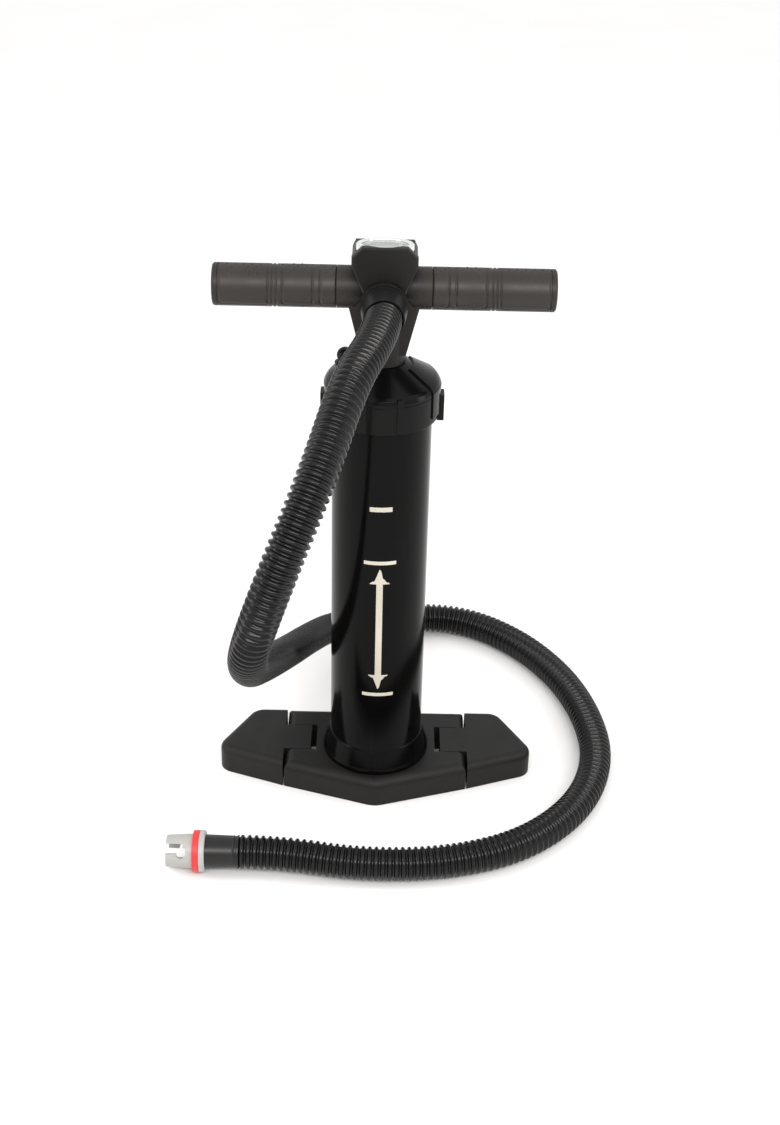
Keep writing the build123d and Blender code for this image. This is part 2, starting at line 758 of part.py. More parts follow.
with BuildPart() as gauge_lens:
    with BuildSketch(gauge_plane.offset(lens_height)):
        Circle(22.4)
    extrude(amount=2.4)
    chamfer(gauge_lens.faces().sort_by(gauge_axis)[-1].edges(), length=1.0, length2=3.0)
gauge_lens.part.label = "gauge_lens"
export_step(gauge_lens.part, "parts/gauge_lens.step")

with BuildPart() as gauge_bezel:
    with BuildSketch(gauge_section):
        with BuildLine():
            Polyline(
                (24.8, seat_upper + 0.2), (bezel_radius, seat_upper + 0.2), (bezel_radius, -1.2),
                (bezel_radius - 1.2, 0), (21.9, -0.3), (21.3, -1.4), (22.7, -1.6),
                (22.7, dial_height + 1), (24.8, dial_height + 1), close=True,
            )
        make_face()
    revolve(axis=gauge_axis)
gauge_bezel.part.label = "gauge_bezel"
export_step(gauge_bezel.part, "parts/gauge_bezel.step")

# ---------------------------------------------------------------- hose port and nut
port_plane = Plane.XZ.offset(hub_depth + 0.2)
with BuildPart() as hose_port:
    with BuildSketch(port_plane):
        with Locations((0, port_z)):
            Circle(port_flange_radius)
        for side in (-1, 1):
            with BuildLine():
                Polyline(
                    (side * 18, port_z + 9), (side * 27.5, port_z - 2.5), (side * 18, port_z - 6), close=True
                )
            make_face()
    extrude(amount=6)
    with BuildSketch(port_plane):
        with Locations((0, port_z)):
            Circle(port_flange_radius - 1)
    extrude(amount=12.6)
    with BuildSketch(Plane.XZ.offset(16)):
        with Locations((0, port_z)):
            Circle(port_spigot_radius)
    extrude(amount=port_tip - 16)
    with BuildSketch(Plane.XZ.offset(10)):
        with Locations((0, port_z)):
            Circle(port_bore)
    extrude(amount=60, mode=Mode.SUBTRACT)
hose_port.part.label = "hose_port"
export_step(hose_port.part, "parts/hose_port.step")

with BuildPart() as port_oring:
    with Locations(Location((0, -50, port_z), (90, 0, 0))):
        Torus(port_spigot_radius + 0.9, 0.85)
port_oring.part.label = "port_oring"
export_step(port_oring.part, "parts/port_oring.step")

# turned outline: distance from the port's axis, distance forward of the tube's axis
port_section = Plane(origin=(0, 0, port_z), x_dir=(0, 0, 1), z_dir=(1, 0, 0))
with BuildPart() as hose_nut:
    with BuildSketch(port_section):
        with BuildLine():
            Polyline(
                (16.4, 41.2), (20.2, 41.2), (20.9, 43), (20.9, 46), (19.4, 61), (18.7, nut_front),
                (17.5, nut_front), (17.5, 59.2), (16.4, 58.4), close=True,
            )
        make_face()
    revolve(axis=Axis((0, 0, port_z), (0, -1, 0)))
hose_nut.part.label = "hose_nut"
export_step(hose_nut.part, "parts/hose_nut.step")

# ---------------------------------------------------------------- hose
# Centre line: out of the port, forward and down in one loop, back past the left of the tube to the
# floor behind it, round the right side and along the front to the adapter at the left.
hose_route = [
    (0, -port_tip, port_z),
    (0, -104, port_z),
    (-23, -188, 542),
    (-47, -261, 495),
    (-80, -304, 428),
    (-106, -302, 350),
    (-114, -234, 284),
    (-110, -152, 232),
    (-103, -70, 184),
    (-92, 10, 141),
    (-77, 90, 103),
    (-56, 166, 69),
    (-16, 228, 40),
    (38, 268, 20),
    (102, 270, floor_line),
    (164, 225, floor_line),
    (211, 156, floor_line),
    (236, 79, floor_line),
    (242, -3, floor_line),
    (215, -83, floor_line),
    (154, -147, floor_line),
    (74, -177, floor_line),
    (-12, -182, floor_line + 0.4),
    (-92, end_y, end_z),
    (end_x, end_y, end_z),
]
hose_split = 5              # the hose is cut in the middle of the run that ends at this point
hose_cut_gap = 0.5


def corner_radii(route):
    """The arc at each inner point: 0.45 of its shorter run over the tangent of half the turn."""
    points = [Vector(*point) for point in route]
    radii = []
    for before, here, after in zip(points, points[1:], points[2:]):
        run_in = here - before
        run_out = after - here
        turn = radians(run_in.get_angle(run_out))
        radii.append(0.45 * min(run_in.length, run_out.length) / tan(turn / 2))
    return radii


hose_radii = corner_radii(hose_route)
print("hose radii", [round(radius) for radius in hose_radii])
cut_before = Vector(*hose_route[hose_split - 1])
cut_after = Vector(*hose_route[hose_split])
cut_middle = (cut_before + cut_after) * 0.5
cut_step = (cut_after - cut_before).normalized() * (hose_cut_gap / 2)
hose_pieces = {
    "hose_upper": (hose_route[:hose_split] + [tuple(cut_middle - cut_step)], hose_radii[: hose_split - 1]),
    "hose_lower": ([tuple(cut_middle + cut_step)] + hose_route[hose_split:], hose_radii[hose_split - 1 :]),
}
for hose_name, (points, radii) in hose_pieces.items():
    with BuildPart() as hose:
        with BuildLine() as hose_path:
            FilletPolyline(*points, radius=radii)
        with BuildSketch(Plane(origin=hose_path.line @ 0, z_dir=hose_path.line % 0)):
            Circle(hose_radius)
            Circle(hose_bore, mode=Mode.SUBTRACT)
        sweep()
    hose_length = hose_path.wires()[0].length
    section_volume = pi * (hose_radius**2 - hose_bore**2) * hose_length
    print(hose_name, "length", round(hose_length, 1), "volume over section", hose.part.volume / section_volume)
    hose.part.label = hose_name
    export_step(hose.part, f"parts/{hose_name}.step")

# ---------------------------------------------------------------- cuff and valve adapter
# turned outlines: distance from the hose's axis, distance beyond the end of the hose
end_section = Plane(origin=(end_x, end_y, end_z), x_dir=(0, 0, 1), z_dir=(0, -1, 0))
end_axis = Axis((end_x, end_y, end_z), (-1, 0, 0))
spigot_length = 16.0
gasket_start = cuff_length + 5.6
gasket_length = 6.5
barrel_start = gasket_start + gasket_length + 0.1
barrel_end = barrel_start + 26.0

with BuildPart() as hose_cuff:
    with BuildSketch(end_section):
        with BuildLine():
            Polyline(
                (12.95, 0), (16.4, 0), (16.4, 1.6), (15.6, 2.2), (15.6, 4.0), (16.3, 4.6), (15.9, 6.2),
                (16.7, cuff_length), (12.95, cuff_length), close=True,
            )
        make_face()
    revolve(axis=end_axis)
hose_cuff.part.label = "hose_cuff"
export_step(hose_cuff.part, "parts/hose_cuff.step")

with BuildPart() as valve_adapter:
    with BuildSketch(end_section):
        with BuildLine():
            Polyline(
                (10.9, cuff_length - spigot_length), (12.9, cuff_length - spigot_length),
                (12.9, cuff_length + 0.1), (19.8, cuff_length + 0.1), (flange_radius, cuff_length + 1.1),
                (flange_radius, gasket_start - 0.1), (14.0, gasket_start - 0.1), (14.0, barrel_start),
                (17.0, barrel_start), (17.0, barrel_start + 5), (15.6, barrel_end), (12.9, barrel_end),
                (12.9, cuff_length + 4), (10.9, cuff_length + 2), close=True,
            )
        make_face()
    revolve(axis=end_axis)
    # two bayonet slots: a wide mouth at the open end that turns into a round pocket
    for turn in (-slot_tilt, 180 - slot_tilt):
        with BuildSketch(end_section.rotated((turn, 0, 0))):
            with Locations((4.5, barrel_end - 7)):
                Rectangle(9, 20)
            with Locations((-0.5, barrel_end - 15)):
                Circle(4.5)
            with Locations((2.5, barrel_end - 15)):
                Rectangle(6, 9)
        extrude(amount=20, mode=Mode.SUBTRACT)
valve_adapter.part.label = "valve_adapter"
export_step(valve_adapter.part, "parts/valve_adapter.step")

with BuildPart() as adapter_gasket:
    with BuildSketch(end_section):
        with BuildLine():
            Polyline(
                (14.1, gasket_start), (flange_radius - 0.5, gasket_start), (flange_radius, gasket_start + 0.5),
                (flange_radius, gasket_start + gasket_length - 0.5),
                (flange_radius - 0.5, gasket_start + gasket_length), (14.1, gasket_start + gasket_length),
                close=True,
            )
        make_face()
    revolve(axis=end_axis)
adapter_gasket.part.label = "adapter_gasket"
export_step(adapter_gasket.part, "parts/adapter_gasket.step")
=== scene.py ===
import math

import bpy
import numpy as np
from mathutils import Matrix, Vector


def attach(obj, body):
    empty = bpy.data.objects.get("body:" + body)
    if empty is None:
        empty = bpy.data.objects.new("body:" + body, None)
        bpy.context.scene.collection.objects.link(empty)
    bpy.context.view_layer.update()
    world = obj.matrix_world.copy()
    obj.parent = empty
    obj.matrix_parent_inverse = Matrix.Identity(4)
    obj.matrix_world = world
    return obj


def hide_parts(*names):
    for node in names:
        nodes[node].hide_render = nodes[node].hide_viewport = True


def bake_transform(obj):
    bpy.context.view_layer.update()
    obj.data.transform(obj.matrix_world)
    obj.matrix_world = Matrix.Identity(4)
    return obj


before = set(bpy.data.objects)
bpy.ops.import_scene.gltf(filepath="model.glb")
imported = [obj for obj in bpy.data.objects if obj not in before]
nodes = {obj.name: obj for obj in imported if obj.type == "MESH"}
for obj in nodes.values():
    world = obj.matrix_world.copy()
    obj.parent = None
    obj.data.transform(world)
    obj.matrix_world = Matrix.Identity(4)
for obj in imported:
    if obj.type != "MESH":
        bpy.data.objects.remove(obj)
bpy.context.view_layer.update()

MM = 0.001
FULL_TURN = 2 * math.pi

# ---------------------------------------------------------------- materials
# cosine between an edge's rounded normal and its true one: fully worn, and not worn at all
WORN_EDGE, FLAT_FACE = 0.86, 0.995
WORN_PALER, WORN_ROUGHER = 2.6, 0.12
# features per metre of the noise that uneven colour, uneven gloss and worn spots follow
PATCH_SCALE, GLOSS_SCALE, WORN_SCALE = 17.0, 38.0, 260.0
# side colours blend in between these distances to the left and right of the middle, in metres
HUB_EDGE, SIDE_START = 0.024, 0.040
# the mould seam on the front, in metres: its place across, the half widths of its top and its
# foot, and the heights between which it fades out
SEAM_X = -0.004
SEAM_TOP_HALF, SEAM_FOOT_HALF = 0.00015, 0.0006
SEAM_FADE_LOW, SEAM_FADE_HIGH = 0.07, 0.11
SEAM_HEIGHT = 0.25 * MM


class Shader:
    """One procedural material: a Principled shader and the nodes that feed it."""

    def __init__(self, name, **fixed):
        self.material = bpy.data.materials.new(name)
        self.material.use_nodes = True
        self.tree = self.material.node_tree
        self.bsdf = self.tree.nodes["Principled BSDF"]
        for socket, value in fixed.items():
            self.bsdf.inputs[socket.replace("_", " ")].default_value = value
        self.place = self.add("TexCoord").outputs["Object"]

    def fill(self, socket, value):
        """Feed a socket from another socket, or set it to a plain value."""
        if isinstance(value, bpy.types.NodeSocket):
            self.tree.links.new(value, socket)
        else:
            socket.default_value = value

    def add(self, kind, inputs=(), **settings):
        node = self.tree.nodes.new("ShaderNode" + kind)
        for key, value in settings.items():
            setattr(node, key, value)
        for socket, value in dict(inputs).items():
            self.fill(node.inputs[socket], value)
        return node

    def link(self, output, socket):
        self.tree.links.new(output, self.bsdf.inputs[socket])

    def noise(self, scale, detail=3.0, rough=0.5, stretch=None):
        where = self.place
        if stretch:
            where = self.add("Mapping", {"Vector": where, "Scale": stretch}).outputs[0]
        return self.add(
            "TexNoise", {"Vector": where, "Scale": scale, "Detail": detail, "Roughness": rough}
        ).outputs["Fac"]

    def spread(self, value, low, high, start=0.3, end=0.7):
        """The value's span from start to end, mapped to low to high and held beyond it."""
        return self.add(
            "MapRange",
            {"Value": value, "From Min": start, "From Max": end, "To Min": low, "To Max": high},
        ).outputs[0]

    def mix(self, factor, first, second):
        """A colour between two; the Mix node's colour sockets are its 6 and 7, its output 2."""
        node = self.add("Mix", data_type="RGBA")
        for number, value in ((0, factor), (6, first), (7, second)):
            self.fill(node.inputs[number], value)
        return node.outputs[2]

    def math(self, operation, first, second=0.0):
        return self.add("Math", {0: first, 1: second}, operation=operation).outputs[0]


def rgb(red, green, blue):
    return (red, green, blue, 1.0)


def scaled(colour, factor):
    return rgb(*[min(1.0, part * factor) for part in colour[:3]])


def seam_bump(s, seam, normal):
    """A thin raised line on the front of a moulded part, fading out upwards."""
    spot = s.add("SeparateXYZ", {0: s.place}).outputs
    line = s.math("ABSOLUTE", s.math("SUBTRACT", spot["X"], seam))
    line = s.spread(line, 1.0, 0.0, SEAM_TOP_HALF, SEAM_FOOT_HALF)
    line = s.math("MULTIPLY", line, s.math("LESS_THAN", spot["Y"], 0.0))
    fade = s.spread(spot["Z"], 1.0, 0.0, SEAM_FADE_LOW, SEAM_FADE_HIGH)
    line = s.math("MULTIPLY", line, fade)
    return s.add(
        "Bump", {"Strength": 1.0, "Distance": SEAM_HEIGHT, "Height": line, "Normal": normal}
    )


def moulded(name, colour, rough, grain, depth, mottle=0.18, rough_spread=0.06, edge=0.35,
            corner=0.5, scuffs=0.0, seam=None, sides=None, **fixed):
    """Moulded plastic or rubber: a fine grain, uneven colour and gloss, and paler worn edges.

    The grain's depth and the corner's radius are in mm.
    """
    s = Shader(name, **fixed)
    true_normal = s.add("NewGeometry").outputs["Normal"]
    rounded = true_normal
    if corner:
        rounded = s.add("Bevel", {"Radius": corner * MM}, samples=4).outputs[0]
    alignment = s.add(
        "VectorMath", {0: rounded, 1: true_normal}, operation="DOT_PRODUCT"
    ).outputs["Value"]
    worn = s.spread(alignment, 1.0, 0.0, WORN_EDGE, FLAT_FACE)
    worn = s.math("MULTIPLY", worn, s.spread(s.noise(WORN_SCALE), 0.2, 1.0))
    patches = s.spread(s.noise(PATCH_SCALE, 4.0), 0.0, 1.0)
    tone = s.mix(patches, scaled(colour, 1 - mottle), scaled(colour, 1 + mottle))
    tone = s.mix(s.math("MULTIPLY", worn, edge), tone, scaled(colour, WORN_PALER))
    if sides:
        across = s.math("ABSOLUTE", s.add("SeparateXYZ", {0: s.place}).outputs["X"])
        tone = s.mix(s.spread(across, 0.0, 1.0, HUB_EDGE, SIDE_START), tone, sides)
    s.link(tone, "Base Color")
    gloss = s.noise(GLOSS_SCALE, 5.0, 0.6)
    gloss = s.spread(gloss, rough - rough_spread, rough + rough_spread)
    gloss = s.math("ADD", gloss, s.math("MULTIPLY", worn, WORN_ROUGHER))
    if scuffs:
        streak = s.noise(900.0, 2.0, 0.5, stretch=(1.0, 1.0, 0.02))
        gloss = s.math("ADD", gloss, s.spread(streak, 0.0, scuffs, 0.62, 0.7))
    s.link(gloss, "Roughness")
    height = s.noise(grain, 2.0, 0.6)
    bump = s.add(
        "Bump", {"Strength": 1.0, "Distance": depth * MM, "Height": height, "Normal": rounded}
    )
    if seam is not None:
        bump = seam_bump(s, seam, bump.outputs[0])
    s.link(bump.outputs[0], "Normal")
    return s.material


BLACK = rgb(0.0060, 0.0058, 0.0060)
base_plastic = moulded(
    "base_plastic", rgb(0.0072, 0.0068, 0.0066), 0.52, 1500.0, 0.05, seam=SEAM_X,
    Specular_IOR_Level=0.22,
)
tube_plastic = moulded(
    "tube_plastic", rgb(0.0020, 0.0018, 0.0018), 0.15, 420.0, 0.004, rough_spread=0.03,
    edge=0.15, scuffs=0.06, seam=SEAM_X, Specular_IOR_Level=0.08,
)
cap_plastic = moulded(
    "cap_plastic", rgb(0.0030, 0.0028, 0.0028), 0.20, 900.0, 0.008, rough_spread=0.04,
    Specular_IOR_Level=0.12,
)
handle_plastic = moulded(
    "handle_plastic", rgb(0.0050, 0.0042, 0.0038), 0.45, 1300.0, 0.03,
    sides=rgb(0.0185, 0.0150, 0.0134), Specular_IOR_Level=0.26,
)
grip_rubber = moulded(
    "grip_rubber", rgb(0.0190, 0.0155, 0.0138), 0.44, 1100.0, 0.03, edge=0.25, corner=0.3,
    Specular_IOR_Level=0.34,
)
hose_plastic = moulded(
    "hose_plastic", rgb(0.0034, 0.0034, 0.0036), 0.20, 500.0, 0.004, rough_spread=0.05,
    edge=0.0, corner=0.0, Specular_IOR_Level=0.25,
)
nut_plastic = moulded("nut_plastic", BLACK, 0.42, 900.0, 0.01, Specular_IOR_Level=0.15)
cuff_plastic = moulded("cuff_plastic", BLACK, 0.34, 900.0, 0.02, Specular_IOR_Level=0.35)
adapter_plastic = moulded(
    "adapter_plastic", rgb(0.35, 0.355, 0.34), 0.42, 600.0, 0.012, mottle=0.05, edge=0.2,
    Subsurface_Weight=0.12, Subsurface_Scale=0.004,
)
gasket_red = moulded(
    "gasket_red", rgb(0.58, 0.022, 0.024), 0.45, 700.0, 0.015, mottle=0.08, edge=0.1
)
seal_rubber = moulded("seal_rubber", rgb(0.02, 0.02, 0.02), 0.5, 800.0, 0.02)
inner_plastic = moulded(
    "inner_plastic", rgb(0.50, 0.50, 0.48), 0.45, 700.0, 0.02, mottle=0.06, edge=0.1
)
dial_paint = moulded(
    "dial_paint", rgb(0.60, 0.64, 0.57), 0.5, 900.0, 0.006, mottle=0.04, edge=0.0
)
ink = moulded("ink", rgb(0.02, 0.035, 0.03), 0.5, 900.0, 0.004, edge=0.0)
needle_paint = moulded("needle_paint", rgb(0.62, 0.03, 0.02), 0.4, 900.0, 0.004, edge=0.1)
print_cream = moulded(
    "print_cream", rgb(0.50, 0.47, 0.39), 0.45, 1400.0, 0.01, mottle=0.12, edge=0.0
)


def metal(name, colour, rough, stretch):
    """Bare or anodised metal with fine drawn lines."""
    s = Shader(name, Metallic=1.0)
    lines = s.noise(600.0, 3.0, 0.6, stretch=stretch)
    tone = s.mix(s.spread(lines, 0.0, 1.0), scaled(colour, 0.88), scaled(colour, 1.08))
    s.link(tone, "Base Color")
    s.link(s.spread(s.noise(55.0, 4.0), rough * 0.7, rough * 1.4), "Roughness")
    rounded = s.add("Bevel", {"Radius": 0.2 * MM}, samples=4).outputs[0]
    bump = s.add(
        "Bump", {"Strength": 1.0, "Distance": 0.004 * MM, "Height": lines, "Normal": rounded}
    )
    s.link(bump.outputs[0], "Normal")
    return s.material


steel = metal("steel", rgb(0.55, 0.55, 0.56), 0.28, (1.0, 0.1, 1.0))
rod_metal = metal("rod_metal", rgb(0.66, 0.66, 0.68), 0.22, (1.0, 1.0, 0.02))
bezel_metal = metal("bezel_metal", rgb(0.86, 0.86, 0.86), 0.10, (1.0, 1.0, 0.2))


def clear_lens():
    """A thin clear window: mostly see-through, with a glossy, slightly uneven face, and a pale,
    slightly green colour that is a painted reflection of the white surroundings.
    """
    s = Shader("clear_lens", Alpha=0.30, Specular_IOR_Level=0.8)
    # pale, slightly green base colour: a painted reflection of the white surroundings, not a tint
    # of the window
    s.link(s.mix(s.noise(40.0), rgb(0.74, 0.80, 0.76), rgb(0.80, 0.85, 0.82)), "Base Color")
    s.link(s.spread(s.noise(90.0, 4.0), 0.02, 0.09), "Roughness")
    bump = s.add("Bump", {"Strength": 0.4, "Distance": 0.01 * MM, "Height": s.noise(25.0)})
    s.link(bump.outputs[0], "Normal")
    return s.material


painted_reflection_lens = clear_lens()

for material, names in (
    (base_plastic, "base_body left_foot right_foot"),
    (inner_plastic, "base_plate cylinder_floor rod_bush piston_body piston_retainer piston_nut"
                    " air_block"),
    (steel, "base_screws hinge_pin_left hinge_pin_right handle_screws gauge_spindle"),
    (tube_plastic, "pump_tube"),
    (seal_rubber, "floor_oring bottom_inlet_flap cap_gasket rod_seal top_inlet_flap plug_oring"
                  " piston_seal outlet_flap port_oring"),
    (cap_plastic, "cap mode_plug"),
    (rod_metal, "rod_outer rod_inner"),
    (handle_plastic, "handle_front handle_rear end_cap_left end_cap_right gauge_body hose_port"),
    (grip_rubber, "grip_left grip_right"),
    (dial_paint, "gauge_dial"),
    (needle_paint, "gauge_needle"),
    (painted_reflection_lens, "gauge_lens"),
    (bezel_metal, "gauge_bezel"),
    (nut_plastic, "hose_nut"),
    (hose_plastic, "hose_upper hose_lower"),
    (cuff_plastic, "hose_cuff"),
    (adapter_plastic, "valve_adapter"),
    (gasket_red, "adapter_gasket"),
):
    for name in names.split():
        mesh = nodes[name].data
        mesh.materials.clear()
        mesh.materials.append(material)


# ---------------------------------------------------------------- mesh helpers
# how far printed marks stand out from the surface under them, in mm
PRINT_HEIGHT = 0.06


def piece(name, points, faces, material, body, smooth=True):
    """A mesh object in the shared frame, with points in metres; it rides on a given body."""
    mesh = bpy.data.meshes.new(name)
    mesh.from_pydata([tuple(point) for point in points], [], faces)
    mesh.validate()
    mesh.polygons.foreach_set("use_smooth", [smooth] * len(mesh.polygons))
    mesh.materials.append(material)
    obj = bpy.data.objects.new(name, mesh)
    bpy.context.scene.collection.objects.link(obj)
    if body:
        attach(obj, body)
    return obj


def moved_faces(faces, first):
    """The same faces for points that start at number first."""
    return [tuple(first + index for index in face) for face in faces]


def grid_faces(rows, columns, closed=True):
    """Quads between rows of points; a closed row joins its last point to its first."""
    faces = []
    for row in range(rows - 1):
        for column in range(columns if closed else columns - 1):
            after = (column + 1) % columns
            faces.append((row * columns + column, row * columns + after,
                          (row + 1) * columns + after, (row + 1) * columns + column))
    return faces


def end_faces(rows, columns):
    """One flat face over the first row of points and one over the last."""
    last = (rows - 1) * columns
    return [tuple(range(columns - 1, -1, -1)), tuple(range(last, last + columns))]


def dome(centre, outward, along, across_length, along_length, height, rings=4, segments=14):
    """The points and faces of a small raised dome: an ellipse at its foot, rounded on top."""
    sunk = 0.3
    sideways = np.cross(outward, along)
    points = []
    for ring in range(rings):
        angle = ring / rings * math.pi / 2
        for turn in np.linspace(0, FULL_TURN, segments, endpoint=False):
            points.append(
                centre + outward * height * ((1 + sunk) * math.sin(angle) - sunk)
                + along * along_length * math.cos(angle) * math.cos(turn)
                + sideways * across_length * math.cos(angle) * math.sin(turn)
            )
    points.append(centre + outward * height)
    faces = grid_faces(rings, segments)
    last = (rings - 1) * segments
    top = rings * segments
    faces += [(last + k, last + (k + 1) % segments, top) for k in range(segments)]
    return np.array(points), faces


def lathe(profile, centre, segments=64):
    """Points and faces of a profile of (radius, height) in mm turned about an upright axis."""
    turns = np.linspace(0, FULL_TURN, segments, endpoint=False)
    points = [
        (centre[0] + radius * math.cos(turn), centre[1] + radius * math.sin(turn), height)
        for radius, height in profile for turn in turns
    ]
    faces = grid_faces(len(profile), segments) + end_faces(len(profile), segments)
    return np.array(points) * MM, faces


# ---------------------------------------------------------------- grips
# everything in this section is in mm, and x runs from the handle's middle out along the bar
handle_z = 550.0
grip_radius = 19.6
grip_inner, grip_outer = 44.0, 152.0
bar_clearance_radius = 16.1
grip_rows, grip_columns = 250, 288
# the front and the back of the grip are the same, half a turn apart
half_turns = (0.0, math.pi)
# raised pads: their two ends along the bar, and how far round the bar they reach
pads = ((106.5, 150.0), (66.0, 92.0), (44.6, 57.5))
pad_low, pad_high = math.radians(-41), math.radians(100)
pad_corner = 4.0
pad_rise, pad_rise_width = 0.25, 1.2
# the channel round each pad, the two grooves round the bar and the rounded outer end
channel_depth, channel_middle, channel_half_width = 0.75, 0.9, 0.95
grooves = (98.2, 102.2)
groove_depth, groove_half_width = 0.7, 0.8
wall_width = 0.35
end_depth, end_width = 0.6, 0.8
# rows of small bumps on each pad: elevation in degrees round the bar and how many
bump_rows = (
    ((50, 4), (63, 5), (76, 4), (89, 5)),
    ((58, 3), (71, 2), (84, 3), (96, 2)),
    ((58, 2), (71, 1), (84, 2)),
)
bump_spacing = 7.7
bump_radius, long_bump_radius, bump_height, bump_foot = 1.25, 2.3, 0.75, 0.2


def outside_pad(x, arc, start, end):
    """Distance outside a pad with rounded corners; inside it's negative."""
    half_x, half_arc = (end - start) / 2, (pad_high - pad_low) * grip_radius / 2
    dx = np.abs(x - (start + end) / 2) - half_x + pad_corner
    da = np.abs(arc) - half_arc + pad_corner
    outside = np.hypot(np.maximum(dx, 0), np.maximum(da, 0))
    return outside + np.minimum(np.maximum(dx, da), 0) - pad_corner


def grip_relief(xx, aa):
    """The grip's radius at each place along and round the bar."""
    radius = np.full(xx.shape, grip_radius)
    for half_turn in half_turns:
        middle = (pad_low + pad_high) / 2 + half_turn
        arc = ((aa - middle + math.pi) % FULL_TURN - math.pi) * grip_radius
        for start, end in pads:
            away = outside_pad(xx, arc, start, end)
            wall = (channel_half_width - np.abs(away - channel_middle)) / wall_width
            radius -= channel_depth * np.clip(wall, 0, 1)
            radius += pad_rise * np.clip(-away / pad_rise_width, 0, 1)
    for groove in grooves:
        wall = (groove_half_width - np.abs(xx - groove)) / wall_width
        radius -= groove_depth * np.clip(wall, 0, 1)
    radius -= end_depth * np.clip((xx - grip_outer + end_width) / end_width, 0, 1)
    return radius


def grip_sleeve(side):
    """The sleeve itself: its outer surface, its two ends and the bore that holds the bar."""
    x = np.linspace(grip_inner, grip_outer, grip_rows)
    angle = np.linspace(0, FULL_TURN, grip_columns, endpoint=False)
    xx, aa = np.meshgrid(x, angle, indexing="ij")
    bore = np.full((1, grip_columns), bar_clearance_radius)
    radius = np.concatenate([bore, grip_relief(xx, aa), bore])
    xx = np.concatenate([xx[:1], xx, xx[-1:]])
    aa = np.concatenate([aa[:1], aa, aa[-1:]])
    points = np.stack(
        [side * xx, -radius * np.cos(aa), handle_z + radius * np.sin(aa)], axis=-1
    ).reshape(-1, 3)
    rows = len(radius)
    faces = grid_faces(rows, grip_columns)
    last = (rows - 1) * grip_columns
    for k in range(grip_columns):
        after = (k + 1) % grip_columns
        faces.append((last + k, last + after, after, k))
    if side > 0:
        faces = [face[::-1] for face in faces]
    return points, faces


def grip_shape(side):
    """The points, in metres, and faces of one grip with its bumps."""
    points, faces = grip_sleeve(side)
    for half_turn in half_turns:
        for (start, end), rows_of_bumps in zip(pads, bump_rows):
            for number, (elevation, count) in enumerate(rows_of_bumps):
                turn = math.radians(elevation) + half_turn
                outward = np.array((0, -math.cos(turn), math.sin(turn)))
                round_bar = np.cross((1.0, 0.0, 0.0), outward)
                # the first row of the longest pad has bumps stretched round the bar
                stretched = number == 0 and count == 4
                reach = long_bump_radius if stretched else bump_radius
                for k in range(count):
                    place = (start + end) / 2 + (k - (count - 1) / 2) * bump_spacing
                    foot = np.array((side * place, 0, handle_z))
                    foot = foot + outward * (grip_radius + bump_foot)
                    more, more_faces = dome(
                        foot, outward, round_bar, bump_radius, reach, bump_height
                    )
                    faces += moved_faces(more_faces, len(points))
                    points = np.concatenate([points, more])
    return points * MM, faces


for side, side_name in ((-1, "left"), (1, "right")):
    grip_points, grip_faces = grip_shape(side)
    grip = piece(
        f"padded_grip_{side_name}", grip_points, grip_faces, grip_rubber, "plunger"
    )
    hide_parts(f"grip_{side_name}")

# ---------------------------------------------------------------- mode plug
plug_x, plug_y = -36.0, 16.0
# (radius, height) in mm: the stem with its groove and collar, then the ball
plug_profile = [
    (0.3, 458), (5.0, 458), (5.9, 459), (5.9, 462.0), (4.6, 462.0), (4.6, 464.6),
    (5.9, 464.6), (5.9, 468.6), (7.6, 468.6), (7.6, 469.5), (6.2, 469.7),
]
ball_radius, ball_height = 8.1, 475.0
ball_start, ball_sweep, ball_steps = -38, 127, 14
smallest_radius = 0.05
for step in range(ball_steps + 1):
    angle = math.radians(ball_start + step * ball_sweep / ball_steps)
    plug_profile.append((
        max(smallest_radius, ball_radius * math.cos(angle)),
        ball_height + ball_radius * math.sin(angle),
    ))
plug_points, plug_faces = lathe(plug_profile, (plug_x, plug_y))
plug = piece("mode_plug_knob", plug_points, plug_faces, cap_plastic, "mode_plug")
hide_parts("mode_plug")

# ---------------------------------------------------------------- gauge face
dial_tilt = math.radians(8.5)
dial_origin = np.array((0, 1.0, 592.0)) * MM
dial_out = np.array((0, math.sin(dial_tilt), math.cos(dial_tilt)))
dial_right = np.array((1.0, 0, 0))
dial_up = np.cross(dial_out, dial_right)
# the dial's face below its origin, and the radii of what is printed on it, in mm
dial_top = -7.7
scale_start, scale_sweep = 225, 270
tick_count, tick_outer = 40, 19.2
# a numbered tick, a small one, a middle one and a small one: inner end and half width
tick_kinds = ((15.6, 0.32), (17.4, 0.16), (16.8, 0.16), (17.4, 0.16))
scale_ring, scale_ring_steps = (18.9, 19.3), 80
highest_number, numeral_radius, numeral_size = 10, 12.4, 4.6


def scale_angle(step, steps):
    return math.radians(scale_start - step * scale_sweep / steps)


def on_dial(u, v):
    """A printed point on the dial: u to the right and v up its face, in mm."""
    above_origin = dial_top + PRINT_HEIGHT
    return dial_origin + (dial_right * u + dial_up * v + dial_out * above_origin) * MM


marks, mark_faces = [], []
for tick in range(tick_count + 1):
    angle = scale_angle(tick, tick_count)
    inner, half_width = tick_kinds[tick % len(tick_kinds)]
    direction = np.array((math.cos(angle), math.sin(angle)))
    across_tick = np.array((-direction[1], direction[0])) * half_width
    for corner in (direction * inner - across_tick, direction * tick_outer - across_tick,
                   direction * tick_outer + across_tick, direction * inner + across_tick):
        marks.append(on_dial(*corner))
    mark_faces.append(tuple(range(len(marks) - 4, len(marks))))
for step in range(scale_ring_steps + 1):
    angle = scale_angle(step, scale_ring_steps)
    for reach in scale_ring:
        marks.append(on_dial(reach * math.cos(angle), reach * math.sin(angle)))
    if step:
        first = len(marks) - 4
        mark_faces.append((first, first + 1, first + 3, first + 2))
piece("dial_marks", marks, mark_faces, ink, "plunger", smooth=False)

